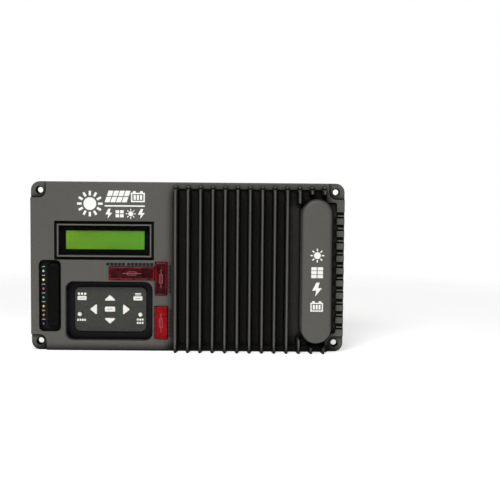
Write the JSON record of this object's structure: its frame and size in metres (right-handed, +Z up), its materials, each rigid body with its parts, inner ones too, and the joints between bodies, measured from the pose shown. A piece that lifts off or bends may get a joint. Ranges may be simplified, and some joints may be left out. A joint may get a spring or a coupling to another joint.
{
  "type": "charge controller",
  "caption": "Wall-type solar charge controller with a finned die-cast front, raised choke pod, display, arrow keypad, status lights, pull-off fuse covers and rear terminals.",
  "frame": {"origin": "centre of the bounding box's bottom face, where the unit stands on its lower edge", "axes": "+X to the right as seen from the front, +Y towards the back, +Z up; the front faces -Y"},
  "size_m": [0.3174, 0.064, 0.1715],
  "materials": {
    "powder_coat": "fine-textured satin powder coat on die-cast aluminium",
    "rear_plastic": "matt moulded plastic",
    "black_rubber": "matt",
    "clear_window": "clear, glossy",
    "black_plastic": "satin",
    "lcd_green": "lit display, smooth",
    "board_green": "solder mask",
    "keypad_grey": "fine-textured satin",
    "key_ivory": "matt silicone",
    "ruby_dark": "translucent, smooth",
    "ruby_bright": "translucent, smooth",
    "fuse_amber": "translucent",
    "zinc_steel": "zinc plated",
    "bare_aluminium": "sawn bar",
    "copper_winding": "enamelled wire",
    "capacitor_sleeve": "shrink sleeve",
    "light_green": "tinted epoxy",
    "light_yellow": "tinted epoxy",
    "light_red": "tinted epoxy",
    "light_teal": "tinted epoxy",
    "light_amber": "tinted epoxy",
    "light_orange": "tinted epoxy",
    "light_violet": "tinted epoxy"
  },
  "bodies": {
    "case": {"capacitor_1": "capacitor_sleeve", "capacitor_2": "capacitor_sleeve", "capacitor_3": "capacitor_sleeve", "case_gasket": "black_rubber", "choke_1": "copper_winding", "choke_2": "copper_winding", "control_board": "board_green", "front_casting": "powder_coat", "fuse_1": "fuse_amber", "fuse_2": "fuse_amber", "fuse_3": "fuse_amber", "fuse_holder_1": "black_plastic", "fuse_holder_2": "black_plastic", "fuse_holder_3": "black_plastic", "keypad_membrane": "black_rubber", "keypad_plate": "keypad_grey", "keypad_surround": "black_plastic", "lcd_board": "board_green", "lcd_frame": "black_plastic", "lcd_glass": "lcd_green", "lcd_lens": "clear_window", "led_1": "light_green", "led_2": "light_yellow", "led_3": "light_red", "led_4": "light_teal", "led_5": "light_amber", "led_6": "light_orange", "led_7": "light_violet", "led_holder": "black_plastic", "power_board": "board_green", "rear_cover": "rear_plastic", "rear_screw_1": "zinc_steel", "rear_screw_2": "zinc_steel", "rear_screw_3": "zinc_steel", "rear_screw_4": "zinc_steel", "status_insert": "black_plastic", "terminal_block": "black_plastic", "terminal_screw_1": "zinc_steel", "terminal_screw_2": "zinc_steel", "terminal_screw_3": "zinc_steel", "terminal_screw_4": "zinc_steel", "terminal_screw_5": "zinc_steel", "terminal_screw_6": "zinc_steel", "transistor_bar": "bare_aluminium"},
    "key_up": {"key_up": "key_ivory"},
    "key_down": {"key_down": "key_ivory"},
    "key_left": {"key_left": "key_ivory"},
    "key_right": {"key_right": "key_ivory"},
    "key_enter": {"key_enter": "key_ivory"},
    "key_upper_left": {"key_upper_left": "key_ivory"},
    "key_upper_right": {"key_upper_right": "key_ivory"},
    "key_lower_left": {"key_lower_left": "key_ivory"},
    "key_lower_right": {"key_lower_right": "key_ivory"},
    "fuse_cover_1": {"fuse_cover_1": "ruby_dark"},
    "fuse_cover_2": {"fuse_cover_2": "ruby_dark"},
    "fuse_cover_3": {"fuse_cover_3": "ruby_bright"},
    "terminal_cover": {"terminal_cover": "rear_plastic"}
  },
  "joints": [
    {"name": "key_up_press", "type": "slide", "parent": "case", "child": "key_up", "axis": [0, 1, 0], "range_m": [0, 0.0008], "stiffness_N_per_m": 2000},
    {"name": "key_down_press", "type": "slide", "parent": "case", "child": "key_down", "axis": [0, 1, 0], "range_m": [0, 0.0008], "stiffness_N_per_m": 2000},
    {"name": "key_left_press", "type": "slide", "parent": "case", "child": "key_left", "axis": [0, 1, 0], "range_m": [0, 0.0008], "stiffness_N_per_m": 2000},
    {"name": "key_right_press", "type": "slide", "parent": "case", "child": "key_right", "axis": [0, 1, 0], "range_m": [0, 0.0008], "stiffness_N_per_m": 2000},
    {"name": "key_enter_press", "type": "slide", "parent": "case", "child": "key_enter", "axis": [0, 1, 0], "range_m": [0, 0.0008], "stiffness_N_per_m": 2000},
    {"name": "key_upper_left_press", "type": "slide", "parent": "case", "child": "key_upper_left", "axis": [0, 1, 0], "range_m": [0, 0.0008], "stiffness_N_per_m": 2000},
    {"name": "key_upper_right_press", "type": "slide", "parent": "case", "child": "key_upper_right", "axis": [0, 1, 0], "range_m": [0, 0.0008], "stiffness_N_per_m": 2000},
    {"name": "key_lower_left_press", "type": "slide", "parent": "case", "child": "key_lower_left", "axis": [0, 1, 0], "range_m": [0, 0.0008], "stiffness_N_per_m": 2000},
    {"name": "key_lower_right_press", "type": "slide", "parent": "case", "child": "key_lower_right", "axis": [0, 1, 0], "range_m": [0, 0.0008], "stiffness_N_per_m": 2000},
    {"name": "fuse_cover_1_pull", "type": "slide", "parent": "case", "child": "fuse_cover_1", "axis": [0, -1, 0], "range_m": [0, 0.02]},
    {"name": "fuse_cover_2_pull", "type": "slide", "parent": "case", "child": "fuse_cover_2", "axis": [0, -1, 0], "range_m": [0, 0.02]},
    {"name": "fuse_cover_3_pull", "type": "slide", "parent": "case", "child": "fuse_cover_3", "axis": [0, -1, 0], "range_m": [0, 0.02]},
    {"name": "terminal_cover_pull", "type": "slide", "parent": "case", "child": "terminal_cover", "axis": [0, 1, 0], "range_m": [0, 0.025]}
  ]
}
